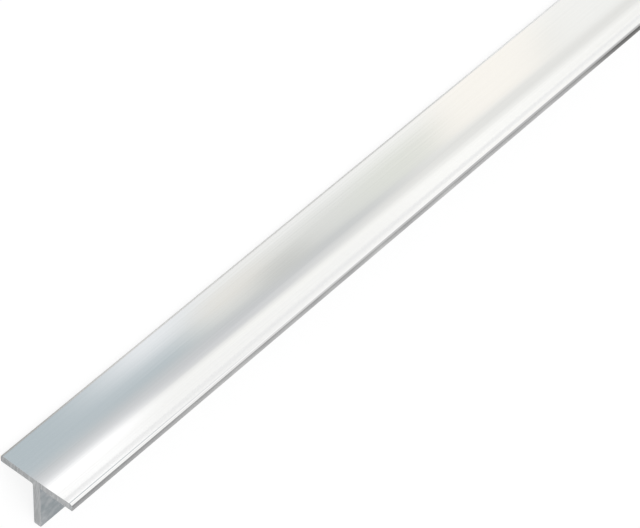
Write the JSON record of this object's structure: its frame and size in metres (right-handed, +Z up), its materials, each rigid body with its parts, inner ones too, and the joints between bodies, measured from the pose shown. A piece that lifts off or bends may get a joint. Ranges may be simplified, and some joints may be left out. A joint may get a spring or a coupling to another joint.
{
  "type": "aluminium tee section",
  "caption": "Straight length of extruded aluminium tee bar with a thin wide flange and a shorter central web, for edging, dividing and joining panels.",
  "frame": {"origin": "on the floor under the middle of the bar's bounding box, with the bar lying as it rests, on the left edge of its flange and the tip of its web", "axes": "+Y along the bar, +Z up, and the flange's outer face looks up towards -X, 55.3 degrees from level"},
  "size_m": [0.0182, 1, 0.0172],
  "materials": {
    "aluminium": "satin"
  },
  "bodies": {
    "root": {"tee_bar": "aluminium"}
  },
  "joints": []
}
